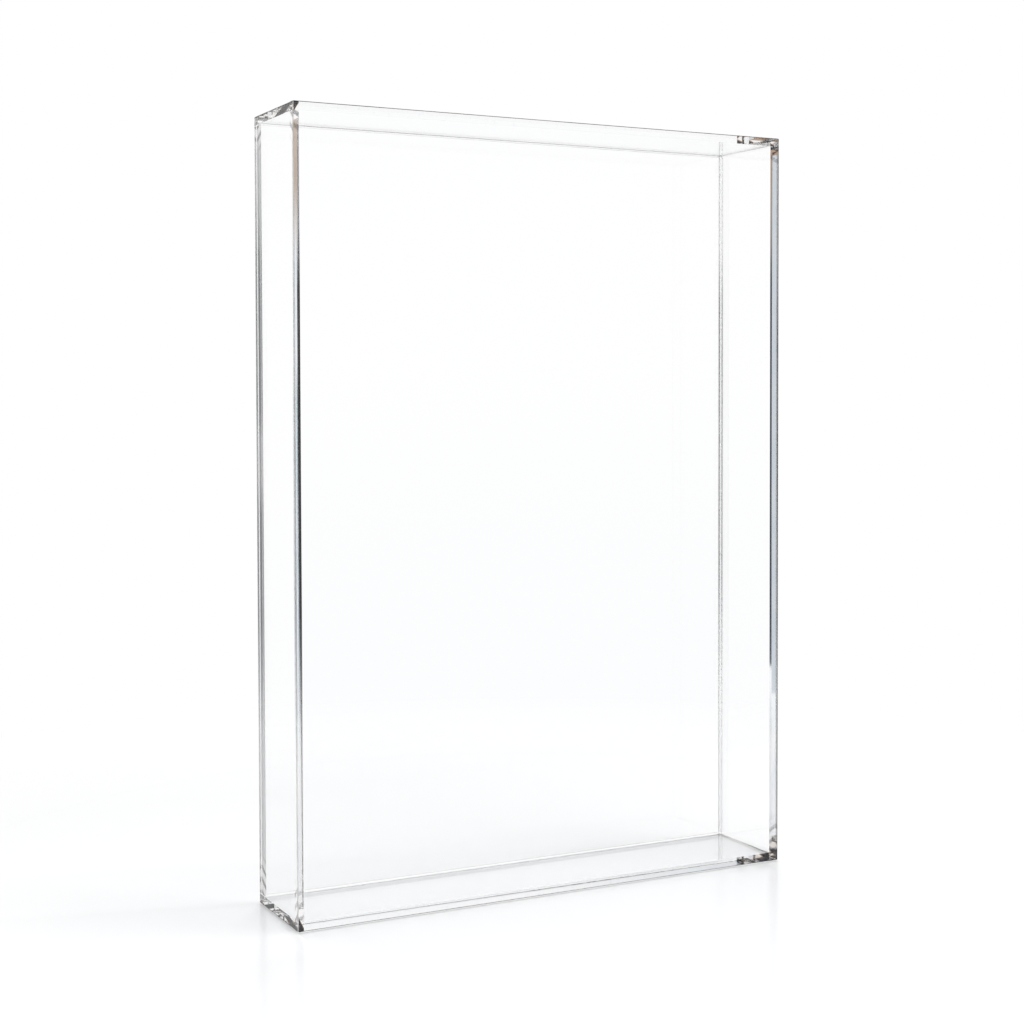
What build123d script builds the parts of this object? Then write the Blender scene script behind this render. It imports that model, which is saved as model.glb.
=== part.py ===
from build123d import *
import os

# Clear box frame of flat polished sheet: five sheets welded into a box that is open at the back,
# and a thicker back panel that plugs the opening. Millimetres, +Z up, the front faces -Y,
# and the origin is the middle of the face that the frame stands on.

# Outer size of the frame
WIDTH = 210.0
DEPTH = 42.0
HEIGHT = 297.0

# Sheet thicknesses
FRONT_SHEET = 3.0
WALL_SHEET = 3.0
BACK_SHEET = 5.0

# Gap left on each side of the back panel, so that it slides out
BACK_CLEARANCE = 0.2

# Flat eased along the sharp outer edges when they are polished
ARRIS = 0.4

# Faces of the box and of the hollow inside it
OUTER_X = WIDTH / 2
INNER_X = OUTER_X - WALL_SHEET
FRONT_Y = -DEPTH / 2
HOLLOW_FRONT_Y = FRONT_Y + FRONT_SHEET
REAR_Y = DEPTH / 2
BACK_FRONT_Y = REAR_Y - BACK_SHEET
INNER_BOTTOM_Z = WALL_SHEET
INNER_TOP_Z = HEIGHT - WALL_SHEET


def sheet(low, high):
    """A flat sheet between two opposite corners."""
    size = [high[i] - low[i] for i in range(3)]
    middle = [(low[i] + high[i]) / 2 for i in range(3)]
    return Pos(*middle) * Box(*size)


def edges_at(solid, **faces):
    """The edges of a sheet that lie on each given coordinate, such as X=3."""
    found = solid.edges()
    for axis, value in faces.items():
        line = {"X": Axis.X, "Y": Axis.Y, "Z": Axis.Z}[axis]
        found = found.filter_by_position(line, value, value)
    return found


def front_panel():
    """The front sheet, over the front ends of the walls, eased around its face and at its corners."""
    panel = sheet((-OUTER_X, FRONT_Y, 0), (OUTER_X, HOLLOW_FRONT_Y, HEIGHT))
    face_edges = edges_at(panel, Y=FRONT_Y)
    corner_edges = panel.edges().filter_by(Axis.Y)
    return chamfer(face_edges + corner_edges, ARRIS)


def side_wall(side):
    """A full-height side strip: side is -1 on the left and 1 on the right."""
    inner, outer = side * INNER_X, side * OUTER_X
    wall = sheet((min(inner, outer), HOLLOW_FRONT_Y, 0), (max(inner, outer), REAR_Y, HEIGHT))
    rear_edge = edges_at(wall, X=outer, Y=REAR_Y)
    end_edges = edges_at(wall, X=outer, Z=0) + edges_at(wall, X=outer, Z=HEIGHT)
    rear_ends = edges_at(wall, Y=REAR_Y, Z=0) + edges_at(wall, Y=REAR_Y, Z=HEIGHT)
    return chamfer(rear_edge + end_edges + rear_ends, ARRIS)


def cross_wall(low_z, high_z, outer_z):
    """A strip across the top or the bottom, between the side strips, eased along its rear outer edge."""
    wall = sheet((-INNER_X, HOLLOW_FRONT_Y, low_z), (INNER_X, REAR_Y, high_z))
    return chamfer(edges_at(wall, Y=REAR_Y, Z=outer_z), ARRIS)


def back_panel():
    """The back sheet, set between the walls and flush with their rear ends, eased all round."""
    half_width = INNER_X - BACK_CLEARANCE
    low_z = INNER_BOTTOM_Z + BACK_CLEARANCE
    high_z = INNER_TOP_Z - BACK_CLEARANCE
    panel = sheet((-half_width, BACK_FRONT_Y, low_z), (half_width, REAR_Y, high_z))
    face_edges = edges_at(panel, Y=BACK_FRONT_Y) + edges_at(panel, Y=REAR_Y)
    return chamfer(face_edges, ARRIS)


PARTS = {
    "front_panel": front_panel(),
    "left_wall": side_wall(-1),
    "right_wall": side_wall(1),
    "top_wall": cross_wall(INNER_TOP_Z, HEIGHT, HEIGHT),
    "bottom_wall": cross_wall(0, INNER_BOTTOM_Z, 0),
    "back_panel": back_panel(),
}

os.makedirs("parts", exist_ok=True)
for name, solid in PARTS.items():
    export_step(solid, f"parts/{name}.step")
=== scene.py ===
import math

import bmesh
import bpy
from mathutils import Matrix, Vector


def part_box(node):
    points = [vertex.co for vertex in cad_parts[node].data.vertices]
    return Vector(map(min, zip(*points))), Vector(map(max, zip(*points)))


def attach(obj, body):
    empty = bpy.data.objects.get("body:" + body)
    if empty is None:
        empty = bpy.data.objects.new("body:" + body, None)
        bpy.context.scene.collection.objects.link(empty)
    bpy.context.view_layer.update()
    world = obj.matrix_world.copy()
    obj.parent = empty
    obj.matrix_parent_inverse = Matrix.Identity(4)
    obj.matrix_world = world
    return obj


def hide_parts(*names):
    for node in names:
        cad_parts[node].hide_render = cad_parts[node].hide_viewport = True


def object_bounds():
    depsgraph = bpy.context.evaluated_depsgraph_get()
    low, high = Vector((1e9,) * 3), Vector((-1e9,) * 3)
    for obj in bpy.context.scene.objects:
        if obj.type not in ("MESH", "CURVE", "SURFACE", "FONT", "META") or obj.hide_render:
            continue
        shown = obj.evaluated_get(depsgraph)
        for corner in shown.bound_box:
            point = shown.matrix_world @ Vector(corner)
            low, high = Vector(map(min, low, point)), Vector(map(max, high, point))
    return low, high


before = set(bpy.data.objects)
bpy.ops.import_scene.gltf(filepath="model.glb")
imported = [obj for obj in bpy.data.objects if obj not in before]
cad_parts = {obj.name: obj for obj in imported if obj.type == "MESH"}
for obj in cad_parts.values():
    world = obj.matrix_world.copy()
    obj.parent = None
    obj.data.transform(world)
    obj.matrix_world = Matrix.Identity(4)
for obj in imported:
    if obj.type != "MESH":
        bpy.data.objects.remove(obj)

cad_low, cad_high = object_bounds()

# Millimetres to metres
MM = 0.001

# Sheets of each body, the side walls,
# and the sheets whose eased edges carry dark painted shade
BOX_SHEETS = ("front_panel", "left_wall", "right_wall", "top_wall", "bottom_wall")
BACK_SHEETS = ("back_panel",)
SIDE_WALLS = ("left_wall", "right_wall")
EDGED = ("front_panel", *SIDE_WALLS)

# Eased edges: their width on the front panel, on the walls and on the back panel,
# and the steps and the profile that round them
FRONT_ARRIS = 0.34 * MM
WALL_ARRIS = 0.55 * MM
BACK_ARRIS = 0.15 * MM
ARRIS_STEPS = 2
ARRIS_PROFILE = 0.5

# Plain white, with its alpha
WHITE = (1.0, 1.0, 1.0, 1.0)

# Two faces count as one plane within this distance
PLANE_TOLERANCE = 0.01 * MM

# A face is square to an axis above this share of its normal, and leans that way above this one
SQUARE = 0.999
FACING = 0.3

# Refraction of the sheets, a little under the 1.49 of acrylic:
# it sets the strips along the side walls where the photograph has them
ACRYLIC_IOR = 1.455

# Faint clouds and waves in the sheets: the scale and detail of the clouds' noise, their two tints,
# the scale and detail of the waves' noise, and the waves' strength and height
CLOUD_NOISE = (9.0, 2.0)
CLOUD = ((0.3, (0.997, 0.9985, 1.0)), (0.7, (0.9995, 0.9998, 1.0)))
WAVE_NOISE = (14.0, 1.0)
WAVE_STRENGTH = 0.004
WAVE_HEIGHT = 1.0 * MM

# Tints of the shadows: of a face by how far it faces the side, and of the edges and ends
FACE_SHADE = ((0.0, (0.97, 0.975, 0.98)), (1.0, (0.78, 0.79, 0.8)))
EDGE_SHADE = (0.35, 0.35, 0.35, 1.0)
END_SHADE = (0.6, 0.6, 0.6, 1.0)

# Uneven painted shade on the edges: the scale and detail of its noise. Then how matte the edges are,
# and how rough and how matte the sawn ends are
PAINTED_EDGE_NOISE = (60.0, 3.0)
EDGE_MATTE = 0.5
END_ROUGH = 0.08
END_MATTE = 0.85

# The photograph's camera, in the frame's own metres and degrees
CAMERA_PLACE = Vector((cad_low.x - 0.2145, cad_low.y - 0.5851, 0.1927))
CAMERA_YAW = 27.25
CAMERA_PITCH = 1.74
CAMERA_ROLL = 0.15
CAMERA_LENS = 61.17
CAMERA_SENSOR = 36.0
CAMERA_SHIFT_Y = -0.063

# Floor: its radius, sides, drop below the base, colour, gloss and roughness,
# and the distances from the middle over which it fades to white
FLOOR_REACH = 0.46
FLOOR_SIDES = 96
FLOOR_DROP = 0.2 * MM
FLOOR_PALE = (0.45, 0.452, 0.456)
FLOOR_GLOSS = 0.22
FLOOR_ROUGH = 0.17
FLOOR_FADE = (0.25, 0.42)

# The floor's own glow, and the extra glow where the sheets lead light down under the base
FLOOR_GLOW = 0.202
FLOOR_PIPED = 0.14

# Glow that spills out to the left of the base: how much, how far, and the depths over which it sets in
FLOOR_SPILL = (0.1, 28.0 * MM)
FLOOR_WEDGE = (22.0 * MM, -6.0 * MM)

# Shade along the front and the rear of the base: how much, how far, and how fast it falls off
FLOOR_CONTACT = (0.16, 5.0 * MM, 4.0)

# Glow lost when the floor is seen through the sheets, and the distance where that is full
FLOOR_THROUGH = 0.05
FLOOR_NEAR = 0.1

# Glow lost towards the rear, and the depths over which that sets in
FLOOR_BACK = 0.16
FLOOR_SPAN = (-0.12, 0.2)

# Thickness of the walls
WALL = 3.0 * MM

# Names of the finishes, in the order that each sheet carries them
FINISH_NAMES = ("polished", "plain", "shade_line", "run", "left_corner", "right_corner", "edge", "paler_painted_edge",
                "rear_edge", "wall_end", "left_back_end", "right_back_end", "front_end")

# Weld between the front and the left wall, with a dark line of painted shade at its inner corner, where
# that line is wide and where it is narrow:
# colours over the wall's thickness from the inner corner out
WIDE_SHADE_LINE = (
    (0.0, (0.06, 0.065, 0.07)),
    (0.03, (0.004, 0.006, 0.008)),
    (0.14, (0.004, 0.006, 0.008)),
    (0.21, (0.12, 0.19, 0.23)),
    (0.42, (0.15, 0.22, 0.26)),
    (0.5, (0.58, 0.65, 0.7)),
    (0.58, (0.96, 0.97, 0.98)),
    (0.8, (1.0, 1.0, 1.0)),
)
NARROW_SHADE_LINE = (
    (0.0, (0.06, 0.065, 0.07)),
    (0.03, (0.01, 0.012, 0.014)),
    (0.11, (0.01, 0.012, 0.014)),
    (0.17, (0.3, 0.36, 0.4)),
    (0.24, (0.97, 0.98, 0.985)),
    (0.8, (1.0, 1.0, 1.0)),
)

# How wide that painted shade line is, by share of the height
SHADE_LINE_SPREAD = (
    (0.0, 0.0),
    (0.2, 0.0),
    (0.27, 1.0),
    (0.64, 1.0),
    (0.69, 0.0),
)

# Left end of the back panel: dark lines of painted shade, colours over its thickness from its front face to
# its rear face
LEFT_LINES = (
    (0.0, (0.3, 0.3, 0.3)),
    (0.08, (0.08, 0.09, 0.1)),
    (0.25, (0.08, 0.1, 0.11)),
    (0.33, (0.5, 0.52, 0.55)),
    (0.45, (0.4, 0.43, 0.46)),
    (0.55, (0.02, 0.03, 0.04)),
    (0.9, (0.04, 0.055, 0.07)),
    (1.0, (0.6, 0.6, 0.6)),
)

# Right end of the back panel, likewise
RIGHT_LINES = (
    (0.0, (0.03, 0.028, 0.026)),
    (0.22, (0.05, 0.05, 0.05)),
    (0.3, (0.55, 0.57, 0.59)),
    (0.5, (0.62, 0.64, 0.66)),
    (0.68, (0.66, 0.68, 0.7)),
    (0.76, (0.02, 0.019, 0.018)),
    (1.0, (0.02, 0.019, 0.018)),
)

# Width of the band of painted shade along the rear of the left wall's outer face
BAND = 0.9 * MM

# Saw lines on the rear ends of the walls: the scale and detail of their noise, its stretch, and tints
SAW_NOISE = (500.0, 2.0)
SAW_STRETCH = (1.0, 1.0, 0.15)
SAW = ((0.35, (0.78, 0.84, 0.88)), (0.7, (0.98, 0.99, 1.0)))

# Right end of the front panel: how much its grey painted shade along the front shows, over its thickness
# from the front, then the scale and detail of the noise in it, and its greys
GREY_EDGE = (
    (0.0, 1.0),
    (0.36, 1.0),
    (0.46, 0.1),
)
GREY_NOISE = (22.0, 3.0)
GREY = ((0.36, (0.01, 0.01, 0.01)), (0.64, (0.09, 0.08, 0.07)))

# How strongly the painted shade on the left wall's front weld and rear edge and the back panel's right end
# darkens, by share of the height
STRENGTH = (
    (0.0, 0.1),
    (0.2, 0.15),
    (0.3, 0.55),
    (0.38, 0.95),
    (0.78, 1.0),
    (0.86, 0.3),
    (1.0, 0.2),
)

# The same for the back panel's left end, which has a paler gap half way up
REAR_STRENGTH = (
    (0.0, 0.1),
    (0.22, 0.15),
    (0.31, 0.85),
    (0.36, 1.0),
    (0.5, 1.0),
    (0.54, 0.35),
    (0.59, 0.3),
    (0.63, 0.95),
    (0.82, 1.0),
    (0.9, 0.45),
    (1.0, 0.2),
)

# The same for the front panel's right end
END_STRENGTH = (
    (0.0, 0.5),
    (0.1, 0.95),
    (0.2, 0.85),
    (0.26, 0.35),
    (0.31, 0.4),
    (0.34, 0.8),
    (0.4, 0.5),
    (0.48, 0.6),
    (0.52, 1.0),
    (0.6, 1.0),
    (0.66, 0.8),
    (0.73, 0.85),
    (0.78, 0.4),
    (1.0, 0.3),
)

# Where the painted shade patches show at the ends of the front welds and of the back panel's left end,
# by share of the height
PATCHED_ENDS = (
    (0.0, 1.0),
    (0.04, 0.9),
    (0.065, 0.0),
    (0.955, 0.0),
    (0.97, 0.8),
    (1.0, 1.0),
)

# Patches of painted shade in a weld, dark with warm fringes: their length and slant in the corners and in
# the strips, how far they stray, how much they leave clear in each wall's corners, the scale and detail of
# the stray, and their colours
CORNER_PATCH = (20.0 * MM, 5.0 * MM)
STRIP_PATCH = (4.0 * MM, 2.4 * MM)
PATCH_STRAY = 0.35
PATCH_SPREAD = {"left_wall": 1.3, "right_wall": 0.7}
PATCH_NOISE = (40.0, 0.0)
PATCH = (
    (0.0, (0.04, 0.04, 0.045)),
    (0.3, (0.08, 0.08, 0.085)),
    (0.36, (0.42, 0.27, 0.17)),
    (0.41, (1.0, 0.97, 0.93)),
    (1.0, (1.0, 1.0, 1.0)),
)

# Painted shade on the eased edges, and a paler painted shade on the one at the front left
PAINTED_EDGE = ((0.35, (0.05, 0.046, 0.042)), (0.65, (0.14, 0.122, 0.108)))
PALER_PAINTED_EDGE = ((0.35, (0.6, 0.585, 0.57)), (0.65, (0.8, 0.78, 0.76)))

# Specks in the plain welds: the scale and detail of their noise, and tints
SPECK_NOISE = (900.0, 1.0)
SPECKS = ((0.62, (1.0, 1.0, 1.0)), (0.75, (0.93, 0.94, 0.95)))

# How far the back panel's ends pale where they darken least
PALED = 0.6

# The studio at eye level for light that has run along inside the sheets:
# degrees around from straight behind the frame, positive to the right, and colour
RING = (
    (-180, (0.25, 0.27, 0.29)),
    (-120, (0.10, 0.13, 0.15)),
    (-32, (0.04, 0.05, 0.06)),
    (-25, (0.95, 0.97, 1.0)),
    (-8, (1.0, 1.0, 1.0)),
    (28, (1.0, 1.0, 1.0)),
    (37, (0.67, 0.71, 0.75)),
    (50, (1.0, 1.0, 1.0)),
    (130, (1.0, 1.0, 1.0)),
    (160, (0.25, 0.27, 0.29)),
    (180, (0.25, 0.27, 0.29)),
)

# What that studio is at least, by height: degrees up and colour
LIFT = (
    (-90, (1.0, 1.0, 1.0)),
    (-16, (0.45, 0.47, 0.49)),
    (-10, (0.16, 0.18, 0.2)),
    (-6, (0.0, 0.0, 0.0)),
    (3.5, (0.0, 0.0, 0.0)),
    (7, (0.72, 0.68, 0.65)),
    (30, (0.9, 0.88, 0.85)),
    (90, (1.0, 1.0, 1.0)),
)

# A warm band across its left, by height: degrees up and tint
WARM = (
    (-90, (1.0, 1.0, 1.0)),
    (4.5, (1.0, 1.0, 1.0)),
    (7, (0.62, 0.46, 0.35)),
    (9, (0.68, 0.54, 0.45)),
    (14, (1.0, 1.0, 1.0)),
    (90, (1.0, 1.0, 1.0)),
)

# The studio before the frame as the sheets' faces mirror it, by height: degrees up and colour
MIRRORED = (
    (-90, (0.9, 0.92, 0.95)),
    (-5, (0.9, 0.92, 0.95)),
    (1, (1.0, 1.0, 1.0)),
    (90, (1.0, 1.0, 1.0)),
)

# The studio as the sheets let it through, by height: degrees up and colour
THROUGH = (
    (-90, (0.992, 0.994, 0.997)),
    (-8, (0.992, 0.994, 0.997)),
    (1, (1.0, 1.0, 1.0)),
    (90, (1.0, 1.0, 1.0)),
)

# Light left after each reflection inside the sheets past the first, how many of them count,
# and the reflections after which it counts as mirrored and as run along inside
KEPT = (0.965, 0.968, 0.973)
KEPT_MOST = 3.0
MIRROR = 0.5
RUN = 2.5

# Lamps: how far off they stand, and where each stands in degrees around and up, its size and power
LAMP_DISTANCE = 3.6
LAMPS = (
    ("behind", 27.0, 50.0, 1.2, 72.0),
    ("right", 118.0, 74.0, 0.75, 68.0),
    ("streak_right", 105.0, 45.0, 0.06, 18.0),
    ("streak_left", -20.0, 45.0, 0.06, 18.0),
)

# Bounces enough for light that runs along inside the sheets
BOUNCES = 44


def nodes_of(material):
    """An empty node tree for a material or a world."""
    material.use_nodes = True
    material.node_tree.nodes.clear()
    return material.node_tree


def node(tree, kind, **sockets):
    """A new node with its sockets set by name, to a value or to another node's output."""
    made = tree.nodes.new(kind)
    for name, value in sockets.items():
        socket = made.inputs[name.replace("_", " ")]
        if isinstance(value, bpy.types.NodeSocket):
            tree.links.new(value, socket)
        else:
            socket.default_value = value
    return made


def math_node(tree, operation, *values):
    """The output of one Math node on values or sockets."""
    made = tree.nodes.new("ShaderNodeMath")
    made.operation = operation
    for socket, value in zip(made.inputs, values):
        if isinstance(value, bpy.types.NodeSocket):
            tree.links.new(value, socket)
        else:
            socket.default_value = value
    return made.outputs[0]


def ramp(tree, factor, stops):
    """The colour output of a ramp through the given positions and colours."""
    made = tree.nodes.new("ShaderNodeValToRGB")
    tree.links.new(factor, made.inputs["Fac"])
    elements = made.color_ramp.elements
    while len(elements) < len(stops):
        elements.new(0.5)
    for element, (position, colour) in zip(elements, stops):
        element.position = position
        element.color = (*colour, 1.0)
    return made.outputs["Color"]


def levels(tree, factor, stops):
    """A grey ramp through the given positions and levels."""
    return ramp(tree, factor, [(position, (level, level, level)) for position, level in stops])


def blend(tree, kind, factor, a, b):
    """The output of a colour mix of the given kind."""
    made = tree.nodes.new("ShaderNodeMix")
    made.data_type = "RGBA"
    made.blend_type = kind
    for socket, value in ((made.inputs[0], factor), (made.inputs[6], a), (made.inputs[7], b)):
        if isinstance(value, bpy.types.NodeSocket):
            tree.links.new(value, socket)
        else:
            socket.default_value = value
    return made.outputs[2]


def surface(tree, shader):
    """Joins a shader to a new material output."""
    output = tree.nodes.new("ShaderNodeOutputMaterial")
    tree.links.new(shader, output.inputs["Surface"])


def mix_shaders(tree, factor, a, b):
    """The output of a shader mix."""
    made = tree.nodes.new("ShaderNodeMixShader")
    if isinstance(factor, bpy.types.NodeSocket):
        tree.links.new(factor, made.inputs[0])
    else:
        made.inputs[0].default_value = factor
    tree.links.new(a, made.inputs[1])
    tree.links.new(b, made.inputs[2])
    return made.outputs[0]


def noise(tree, scale, detail, stretch=(1.0, 1.0, 1.0)):
    """Noise over the object's own coordinates."""
    place = tree.nodes.new("ShaderNodeTexCoord").outputs["Object"]
    turn = node(tree, "ShaderNodeMapping", Vector=place, Scale=stretch)
    return node(tree, "ShaderNodeTexNoise", Vector=turn.outputs[0], Scale=scale, Detail=detail).outputs[0]


def place_on(tree):
    """The X, Y and Z sockets of the object's own coordinates."""
    place = tree.nodes.new("ShaderNodeTexCoord").outputs["Object"]
    return node(tree, "ShaderNodeSeparateXYZ", Vector=place).outputs


def share_between(tree, value, low, high):
    """How far a value has come from low to high, from 0 to 1."""
    made = node(tree, "ShaderNodeMapRange", Value=value, From_Min=low, From_Max=high)
    return made.outputs[0]


def by_height(tree, stops):
    """A level that changes over the frame's height."""
    share = share_between(tree, place_on(tree)["Z"], cad_low.z, cad_high.z)
    return levels(tree, share, stops)


def painted_shade_patches(tree, size, spread=1.0):
    """Slanting patches of painted shade, with warm and cool fringes."""
    length, slant = size
    place = place_on(tree)
    middle = (cad_low.z + cad_high.z) / 2
    height = math_node(tree, "ABSOLUTE", math_node(tree, "SUBTRACT", place["Z"], middle))
    flat = math_node(tree, "ADD", place["X"], place["Y"])
    along = math_node(tree, "MULTIPLY", flat, 1.0 / length)
    rising = math_node(tree, "MULTIPLY_ADD", height, 1.0 / slant, along)
    phase = math_node(tree, "MULTIPLY_ADD", noise(tree, *PATCH_NOISE), PATCH_STRAY, rising)
    swing = math_node(tree, "PINGPONG", phase, 1.0)
    return ramp(tree, math_node(tree, "MULTIPLY", swing, spread), PATCH)


def lets_lamps_through(tree, shader, shade):
    """A shader that casts only a faint shadow, of the given tint."""
    clear = node(tree, "ShaderNodeBsdfTransparent", Color=shade)
    light = tree.nodes.new("ShaderNodeLightPath")
    return mix_shaders(tree, light.outputs["Is Shadow Ray"], shader, clear.outputs[0])


def acrylic(tree, tint, rough):
    """Acrylic of a tint and a roughness."""
    return node(tree, "ShaderNodeBsdfPrincipled", Base_Color=tint, Roughness=rough, IOR=ACRYLIC_IOR,
                Transmission_Weight=1.0)


def part_matte(tree, share, matte_tint, clear_tint):
    """Acrylic matte by the given share, with a tint for either part; on the edges and ends that use it, the
    tint is painted shade.
    """
    matte = node(tree, "ShaderNodeBsdfDiffuse", Color=matte_tint)
    clear = acrylic(tree, clear_tint, END_ROUGH)
    return mix_shaders(tree, share, clear.outputs[0], matte.outputs[0])


def polished_material():
    """Clear cast acrylic, faintly wavy and faintly clouded."""
    material = bpy.data.materials.new("polished_acrylic")
    tree = nodes_of(material)
    wave = noise(tree, *WAVE_NOISE)
    bump = node(tree, "ShaderNodeBump", Height=wave, Strength=WAVE_STRENGTH, Distance=WAVE_HEIGHT)
    shader = acrylic(tree, ramp(tree, noise(tree, *CLOUD_NOISE), CLOUD), 0.0)
    tree.links.new(bump.outputs[0], shader.inputs["Normal"])
    normal = tree.nodes.new("ShaderNodeNewGeometry").outputs["Normal"]
    side = math_node(tree, "ABSOLUTE", node(tree, "ShaderNodeSeparateXYZ", Vector=normal).outputs["X"])
    surface(tree, lets_lamps_through(tree, shader.outputs[0], ramp(tree, side, FACE_SHADE)))
    return material


def edge_material(name, tints):
    """Eased edges, dark with uneven painted shade."""
    material = bpy.data.materials.new(name)
    tree = nodes_of(material)
    tint = ramp(tree, noise(tree, *PAINTED_EDGE_NOISE), tints)
    surface(tree, lets_lamps_through(tree, part_matte(tree, EDGE_MATTE, tint, tint), EDGE_SHADE))
    return material


def rear_edge_material():
    """The left wall's rear edge: polished, with dark painted shade half way up."""
    material = bpy.data.materials.new("rear_edge")
    tree = nodes_of(material)
    smoke = by_height(tree, STRENGTH)
    tint = blend(tree, "MIX", smoke, WHITE, ramp(tree, noise(tree, *PAINTED_EDGE_NOISE), PAINTED_EDGE))
    share = math_node(tree, "MULTIPLY", smoke, END_MATTE)
    surface(tree, lets_lamps_through(tree, part_matte(tree, share, tint, tint), EDGE_SHADE))
    return material


def wall_end_material():
    """The sawn rear ends of the walls: clear, with fine grey saw lines."""
    material = bpy.data.materials.new("wall_end")
    tree = nodes_of(material)
    tint = ramp(tree, noise(tree, *SAW_NOISE, SAW_STRETCH), SAW)
    surface(tree, lets_lamps_through(tree, acrylic(tree, tint, END_ROUGH).outputs[0], END_SHADE))
    return material


def back_end_material(name, lines, strength, with_patches):
    """An end of the back panel: painted shade in lines along the height, and either painted shade patches
    or clearer between its lines.
    """
    material = bpy.data.materials.new(name)
    tree = nodes_of(material)
    front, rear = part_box("back_panel")[0][1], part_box("back_panel")[1][1]
    tint = ramp(tree, share_between(tree, place_on(tree)["Y"], front, rear), lines)
    paled = blend(tree, "MIX", PALED, tint, WHITE)
    tint = blend(tree, "MIX", by_height(tree, strength), paled, tint)
    if with_patches:
        tint = blend(tree, "MIX", by_height(tree, PATCHED_ENDS), tint, painted_shade_patches(tree, STRIP_PATCH))
        share = END_MATTE
    else:
        share = math_node(tree, "MULTIPLY", math_node(tree, "SUBTRACT", 1.0, tint), END_MATTE)
    surface(tree, lets_lamps_through(tree, part_matte(tree, share, tint, tint), END_SHADE))
    return material


def front_end_material():
    """The front panel's right end: clear, with grey painted shade along the front that changes with the
    height.
    """
    material = bpy.data.materials.new("front_end")
    tree = nodes_of(material)
    front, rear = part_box("front_panel")[0][1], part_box("front_panel")[1][1]
    edge = levels(tree, share_between(tree, place_on(tree)["Y"], front, rear), GREY_EDGE)
    share = math_node(tree, "MULTIPLY", edge, by_height(tree, END_STRENGTH))
    tint = ramp(tree, noise(tree, *GREY_NOISE), GREY)
    surface(tree, lets_lamps_through(tree, part_matte(tree, share, tint, WHITE), END_SHADE))
    return material


def weld_material(name, colour):
    """A solvent weld: two sheets run into one, so light passes straight through, tinted by a colour that is
    painted shade on all but the plain welds.
    """
    material = bpy.data.materials.new(name)
    tree = nodes_of(material)
    shader = node(tree, "ShaderNodeBsdfTransparent", Color=colour(tree))
    surface(tree, shader.outputs[0])
    return material


def plain_weld(tree):
    """Clear, with faint specks."""
    return ramp(tree, noise(tree, *SPECK_NOISE), SPECKS)


def left_corner_weld(tree):
    """Painted shade patches over the left wall's welds to the top and the bottom."""
    return painted_shade_patches(tree, CORNER_PATCH, PATCH_SPREAD["left_wall"])


def right_corner_weld(tree):
    """Painted shade patches over the right wall's welds to the top and the bottom."""
    return painted_shade_patches(tree, CORNER_PATCH, PATCH_SPREAD["right_wall"])


def shade_line_weld(tree):
    """Clear outside, darkening to a line of painted shade at the inner corner, with painted shade patches
    at both ends.
    """
    out = math_node(tree, "ABSOLUTE", place_on(tree)["X"])
    share = share_between(tree, out, cad_high.x - WALL, cad_high.x)
    narrow, wide = (ramp(tree, share, stops) for stops in (NARROW_SHADE_LINE, WIDE_SHADE_LINE))
    shade_line = blend(tree, "MIX", by_height(tree, SHADE_LINE_SPREAD), narrow, wide)
    line = blend(tree, "MIX", by_height(tree, STRENGTH), WHITE, shade_line)
    return blend(tree, "MIX", by_height(tree, PATCHED_ENDS), line, painted_shade_patches(tree, STRIP_PATCH))


def shade_patch_weld(tree):
    """Clear, with painted shade patches at both ends."""
    return blend(tree, "MIX", by_height(tree, PATCHED_ENDS), WHITE, painted_shade_patches(tree, STRIP_PATCH))


def contact(a, b):
    """The rectangle where two boxes touch face to face: its axis, plane, low and high corner, or None."""
    for axis in range(3):
        for plane, other in ((a[1][axis], b[0][axis]), (a[0][axis], b[1][axis])):
            if abs(plane - other) > PLANE_TOLERANCE:
                continue
            low = [max(a[0][i], b[0][i]) for i in range(3)]
            high = [min(a[1][i], b[1][i]) for i in range(3)]
            if all(high[i] - low[i] > PLANE_TOLERANCE for i in range(3) if i != axis):
                return axis, plane, low, high
    return None


def on_outer_faces(point, low, high):
    """How many faces of the box between two corners a point lies on."""
    gaps = [abs(point[i] - corner[i]) for i in range(3) for corner in (low, high)]
    return sum(gap < PLANE_TOLERANCE for gap in gaps)


def arris_width(sheet):
    """How wide a sheet's edges are eased."""
    if sheet in BACK_SHEETS:
        return BACK_ARRIS
    return FRONT_ARRIS if sheet == "front_panel" else WALL_ARRIS


def face_finish(face, sheet, rear, welds):
    """The name of the finish that a face takes."""
    normal, centre = face.normal, face.calc_center_median()
    if max(abs(part) for part in normal) < SQUARE:
        if sheet == "front_panel" and normal.x < -FACING and normal.y < -FACING:
            # The front left edge takes a paler painted shade
            return "paler_painted_edge"
        if sheet == "left_wall" and normal.x < -FACING and normal.y > FACING:
            return "rear_edge"
        return "edge" if sheet in EDGED else "polished"
    for axis, plane, low, high in welds:
        flat = abs(centre[axis] - plane) < PLANE_TOLERANCE and abs(normal[axis]) > SQUARE
        if flat and all(low[i] < centre[i] < high[i] for i in range(3) if i != axis):
            if sheet not in SIDE_WALLS:
                return "plain"
            if axis == 1:
                # The left wall's front weld takes a painted shade line, and the right wall's takes painted
                # shade patches at its ends
                return "shade_line" if sheet == "left_wall" else "run"
            return sheet.replace("wall", "corner")
    if sheet == "front_panel" and normal.x > SQUARE:
        return "front_end"
    if sheet == "left_wall" and normal.x < -SQUARE and centre.y > rear - BAND:
        return "rear_edge"
    if sheet in BACK_SHEETS and abs(normal.x) > SQUARE:
        return "right_back_end" if normal.x > 0 else "left_back_end"
    if sheet in SIDE_WALLS and normal.y > SQUARE and abs(centre.y - rear) < PLANE_TOLERANCE:
        return "wall_end"
    return "polished"


def cut(bm, axis, value):
    """Cuts every face of a mesh along the plane where one coordinate has a value."""
    normal = [float(i == axis) for i in range(3)]
    place = [value * part for part in normal]
    everything = bm.verts[:] + bm.edges[:] + bm.faces[:]
    bmesh.ops.bisect_plane(bm, geom=everything, plane_co=place, plane_no=normal)


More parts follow.
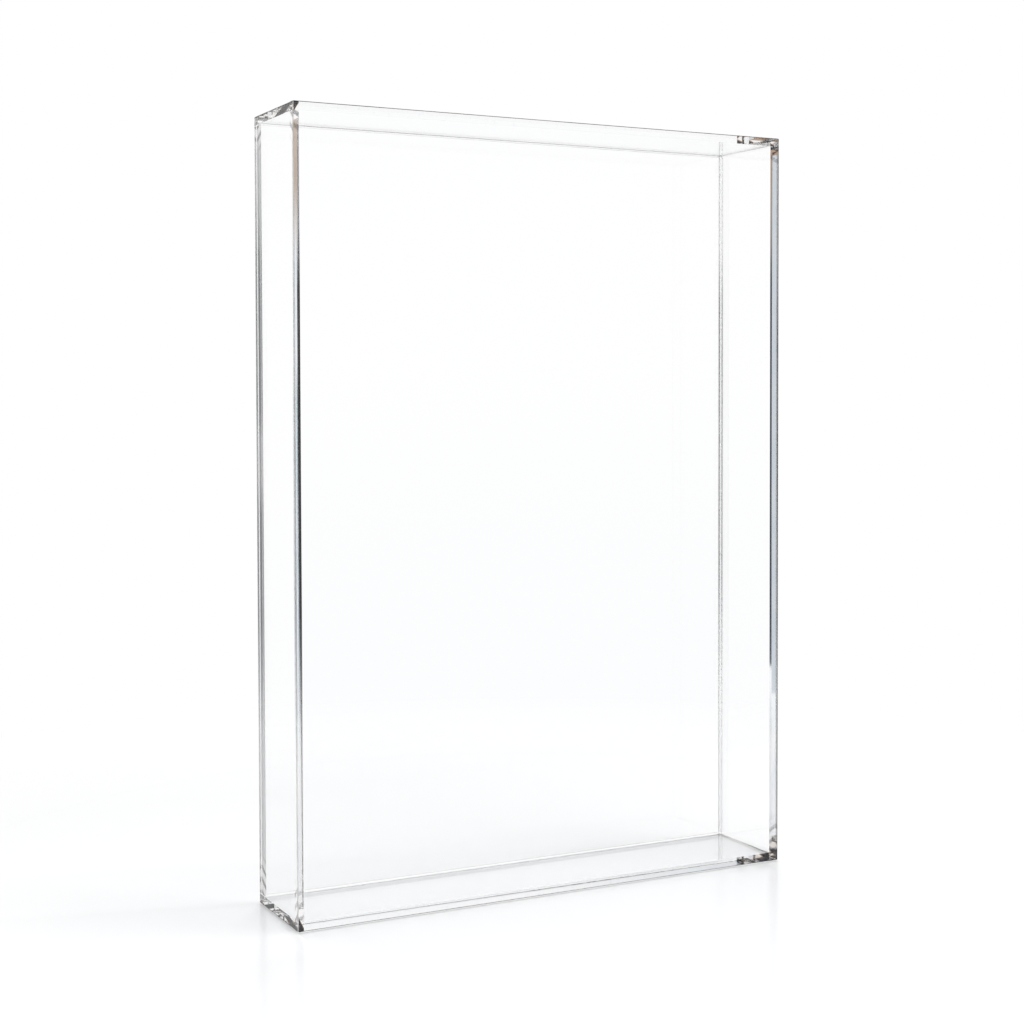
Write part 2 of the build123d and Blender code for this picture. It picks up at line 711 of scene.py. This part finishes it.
def sheet_mesh(sheet, low, high, body_low, body_high, welds):
    """A sheet with its body's outer edges eased, and its welded faces cut out as faces of their own."""
    bm = bmesh.new()
    bmesh.ops.create_cube(bm, size=1.0)
    size = [high[i] - low[i] for i in range(3)]
    middle = [(high[i] + low[i]) / 2 for i in range(3)]
    bmesh.ops.scale(bm, vec=size, verts=bm.verts)
    bmesh.ops.translate(bm, vec=middle, verts=bm.verts)
    middles = {edge: (edge.verts[0].co + edge.verts[1].co) / 2 for edge in bm.edges}
    eased = [edge for edge in bm.edges if on_outer_faces(middles[edge], body_low, body_high) > 1]
    width = arris_width(sheet)
    bmesh.ops.bevel(bm, geom=eased, offset=width, segments=ARRIS_STEPS, profile=ARRIS_PROFILE,
                     affect="EDGES")
    if sheet == "left_wall":
        cut(bm, 1, body_high[1] - BAND)
    for axis, _, weld_low, weld_high in welds:
        for i in range(3):
            if i != axis:
                cut(bm, i, weld_low[i])
                cut(bm, i, weld_high[i])
    bm.normal_update()
    for face in bm.faces:
        face.material_index = FINISH_NAMES.index(face_finish(face, sheet, body_high[1], welds))
    mesh = bpy.data.meshes.new(f"{sheet}_sheet")
    bm.to_mesh(mesh)
    bm.free()
    return mesh


def make_sheets(body, sheets, finishes):
    """The sheets of one body, each a piece that stands for its node."""
    boxes = {sheet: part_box(sheet) for sheet in sheets}
    body_low = [min(box[0][i] for box in boxes.values()) for i in range(3)]
    body_high = [max(box[1][i] for box in boxes.values()) for i in range(3)]
    for sheet, (low, high) in boxes.items():
        welds = [contact((low, high), boxes[other]) for other in sheets if other != sheet]
        welds = [w for w in welds if w]
        mesh = sheet_mesh(sheet, low, high, body_low, body_high, welds)
        for finish in finishes:
            mesh.materials.append(finish)
        piece = bpy.data.objects.new(f"{sheet}_sheet", mesh)
        bpy.context.scene.collection.objects.link(piece)
        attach(piece, body)
        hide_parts(sheet)


def make_camera():
    """The photograph's camera."""
    yaw, pitch, roll = (math.radians(v) for v in (CAMERA_YAW, CAMERA_PITCH, CAMERA_ROLL))
    ahead = Vector((math.sin(yaw) * math.cos(pitch), math.cos(yaw) * math.cos(pitch), -math.sin(pitch)))
    right = Vector((math.cos(yaw), -math.sin(yaw), 0.0))
    down = ahead.cross(right)
    turned_right = math.cos(roll) * right + math.sin(roll) * down
    turned_down = math.cos(roll) * down - math.sin(roll) * right
    data = bpy.data.cameras.new("camera")
    data.sensor_width = CAMERA_SENSOR
    data.lens = CAMERA_LENS
    data.shift_y = CAMERA_SHIFT_Y
    camera = bpy.data.objects.new("camera", data)
    turn = Matrix((turned_right, -turned_down, -ahead)).transposed()
    camera.matrix_world = Matrix.Translation(CAMERA_PLACE) @ turn.to_4x4()
    bpy.context.scene.collection.objects.link(camera)
    bpy.context.scene.camera = camera


def floor_glow(tree, place, distance, seen):
    """How strongly the floor glows at a place: more under and left of the base, less along and behind."""
    beside = math_node(tree, "SUBTRACT", math_node(tree, "ABSOLUTE", place["X"]), cad_high.x)
    ahead = math_node(tree, "SUBTRACT", math_node(tree, "ABSOLUTE", place["Y"]), cad_high.y)
    away = math_node(tree, "MAXIMUM", beside, ahead)
    piped = math_node(tree, "MULTIPLY", math_node(tree, "LESS_THAN", away, 0.0), FLOOR_PIPED)
    spill, spread = FLOOR_SPILL
    left = math_node(tree, "SUBTRACT", cad_low.x, place["X"])
    beyond = math_node(tree, "MULTIPLY", math_node(tree, "GREATER_THAN", left, 0.0), spill)
    beyond = math_node(tree, "MULTIPLY", share_between(tree, place["Y"], *FLOOR_WEDGE), beyond)
    close = math_node(tree, "SUBTRACT", 1.0, share_between(tree, away, 0.0, spread))
    piped = math_node(tree, "MULTIPLY_ADD", beyond, close, piped)
    shade, reach, fall = FLOOR_CONTACT
    nearness = math_node(tree, "SUBTRACT", 1.0, share_between(tree, ahead, 0.0, reach))
    shaded = math_node(tree, "MULTIPLY", math_node(tree, "POWER", nearness, fall), shade)
    shaded = math_node(tree, "MULTIPLY", math_node(tree, "GREATER_THAN", ahead, 0.0), shaded)
    shaded = math_node(tree, "MULTIPLY", math_node(tree, "LESS_THAN", beside, 0.0), shaded)
    strength = math_node(tree, "SUBTRACT", math_node(tree, "ADD", piped, FLOOR_GLOW), shaded)
    near = share_between(tree, distance, FLOOR_FADE[1], FLOOR_NEAR)
    unseen = math_node(tree, "SUBTRACT", 1.0, seen)
    loss = math_node(tree, "MULTIPLY", math_node(tree, "MULTIPLY", unseen, near), FLOOR_THROUGH)
    strength = math_node(tree, "SUBTRACT", strength, loss)
    back = math_node(tree, "MULTIPLY", share_between(tree, place["Y"], *FLOOR_SPAN), FLOOR_BACK)
    return math_node(tree, "SUBTRACT", strength, back)


def floor_far(tree, place, light):
    """The floor's colour where it has faded: the studio's, seen plainly, through the sheets or mirrored."""
    before = math_node(tree, "LESS_THAN", place["Y"], 0.0)
    reflected = math_node(tree, "GREATER_THAN", light["Glossy Depth"], MIRROR)
    faced = math_node(tree, "MULTIPLY", before, reflected)
    plain = blend(tree, "MIX", light["Is Camera Ray"], (*THROUGH[0][1], 1.0), WHITE)
    return blend(tree, "MIX", faced, plain, (*MIRRORED[0][1], 1.0))


def floor_material():
    """A pale, faintly glossy table top that glows a little and fades to white."""
    material = bpy.data.materials.new("floor")
    tree = nodes_of(material)
    place = place_on(tree)
    light = tree.nodes.new("ShaderNodeLightPath").outputs
    middle = tree.nodes.new("ShaderNodeTexCoord").outputs["Object"]
    length = node(tree, "ShaderNodeVectorMath", Vector=middle)
    length.operation = "LENGTH"
    distance = length.outputs["Value"]
    lit = node(tree, "ShaderNodeBsdfDiffuse", Color=(*FLOOR_PALE, 1.0))
    strength = floor_glow(tree, place, distance, light["Is Camera Ray"])
    glow = node(tree, "ShaderNodeEmission", Color=WHITE, Strength=strength)
    both = tree.nodes.new("ShaderNodeAddShader")
    tree.links.new(lit.outputs[0], both.inputs[0])
    tree.links.new(glow.outputs[0], both.inputs[1])
    gloss = node(tree, "ShaderNodeBsdfGlossy", Color=WHITE, Roughness=FLOOR_ROUGH)
    polished = mix_shaders(tree, FLOOR_GLOSS, both.outputs[0], gloss.outputs[0])
    fade = share_between(tree, distance, *FLOOR_FADE)
    white = node(tree, "ShaderNodeEmission", Color=floor_far(tree, place, light), Strength=1.0)
    surface(tree, mix_shaders(tree, fade, polished, white.outputs[0]))
    return material


def make_floor():
    """A round table top that keeps the frame's shadow and a faint reflection."""
    mesh = bpy.data.meshes.new("floor")
    bm = bmesh.new()
    bmesh.ops.create_circle(bm, cap_ends=True, radius=FLOOR_REACH, segments=FLOOR_SIDES)
    bmesh.ops.translate(bm, vec=(0, 0, -FLOOR_DROP), verts=bm.verts)
    bm.to_mesh(mesh)
    bm.free()
    mesh.materials.append(floor_material())
    floor = bpy.data.objects.new("floor", mesh)
    bpy.context.scene.collection.objects.link(floor)


def make_world():
    """A white studio, seen plainly, mirrored in the sheets, or by light that has run along inside them."""
    world = bpy.data.worlds.new("studio")
    bpy.context.scene.world = world
    tree = nodes_of(world)
    way = tree.nodes.new("ShaderNodeTexCoord").outputs["Generated"]
    parts = node(tree, "ShaderNodeSeparateXYZ", Vector=way).outputs
    turn = math_node(tree, "ARCTAN2", parts["X"], parts["Y"])
    around = math_node(tree, "MULTIPLY_ADD", turn, 0.5 / math.pi, 0.5)
    rise = math_node(tree, "MULTIPLY_ADD", parts["Z"], 0.5, 0.5)
    ring = ramp(tree, around, [(yaw / 360.0 + 0.5, colour) for yaw, colour in RING])
    lift, warm, mirrored, through = (
        ramp(tree, rise, [(math.sin(math.radians(up)) / 2 + 0.5, colour) for up, colour in stops])
        for stops in (LIFT, WARM, MIRRORED, THROUGH)
    )
    left = math_node(tree, "LESS_THAN", parts["X"], 0.0)
    inside = blend(tree, "MULTIPLY", left, blend(tree, "LIGHTEN", 1.0, ring, lift), warm)
    light = tree.nodes.new("ShaderNodeLightPath").outputs
    count = light["Glossy Depth"]
    plain = blend(tree, "MIX", light["Is Camera Ray"], through, WHITE)
    before = math_node(tree, "LESS_THAN", parts["Y"], 0.0)
    faced = math_node(tree, "MULTIPLY", before, math_node(tree, "GREATER_THAN", count, MIRROR))
    seen = blend(tree, "MIX", faced, plain, mirrored)
    seen = blend(tree, "MIX", math_node(tree, "GREATER_THAN", count, RUN), seen, inside)
    past = math_node(tree, "MAXIMUM", math_node(tree, "SUBTRACT", count, 1.0), 0.0)
    past = math_node(tree, "MINIMUM", past, KEPT_MOST)
    kept = tree.nodes.new("ShaderNodeCombineXYZ")
    for socket, share in zip(kept.inputs, KEPT):
        tree.links.new(math_node(tree, "POWER", share, past), socket)
    seen = blend(tree, "MULTIPLY", 1.0, seen, kept.outputs[0])
    shader = node(tree, "ShaderNodeBackground", Color=seen, Strength=1.0)
    output = tree.nodes.new("ShaderNodeOutputWorld")
    tree.links.new(shader.outputs[0], output.inputs["Surface"])


def make_lamps():
    """Soft lamps that only the floor shows, by the frame's shadows."""
    for name, around, up, size, power in LAMPS:
        data = bpy.data.lights.new(name, "AREA")
        data.size = size
        data.energy = power
        lamp = bpy.data.objects.new(name, data)
        flat = math.cos(math.radians(up))
        turn = math.radians(around)
        way = Vector((math.sin(turn) * flat, math.cos(turn) * flat, math.sin(math.radians(up))))
        lamp.location = way * LAMP_DISTANCE
        lamp.rotation_euler = way.to_track_quat("Z", "Y").to_euler()
        lamp.visible_camera = False
        lamp.visible_glossy = False
        lamp.visible_transmission = False
        bpy.context.scene.collection.objects.link(lamp)


def set_view():
    """Plain view settings, and enough bounces for light that runs along inside the sheets."""
    scene = bpy.context.scene
    scene.view_settings.view_transform = "Standard"
    scene.cycles.max_bounces = BOUNCES
    scene.cycles.glossy_bounces = BOUNCES
    scene.cycles.transmission_bounces = BOUNCES
    scene.cycles.transparent_max_bounces = BOUNCES


FINISHES = (
    polished_material(),
    weld_material("plain_weld", plain_weld),
    weld_material("shade_line_weld", shade_line_weld),
    weld_material("shade_patch_weld", shade_patch_weld),
    weld_material("left_corner_weld", left_corner_weld),
    weld_material("right_corner_weld", right_corner_weld),
    edge_material("eased_edge", PAINTED_EDGE),
    edge_material("paler_painted_edge", PALER_PAINTED_EDGE),
    rear_edge_material(),
    wall_end_material(),
    back_end_material("left_back_end", LEFT_LINES, REAR_STRENGTH, True),
    back_end_material("right_back_end", RIGHT_LINES, STRENGTH, False),
    front_end_material(),
)
make_sheets("box", BOX_SHEETS, FINISHES)
make_sheets("back", BACK_SHEETS, FINISHES)
make_camera()
make_floor()
make_world()
make_lamps()
set_view()
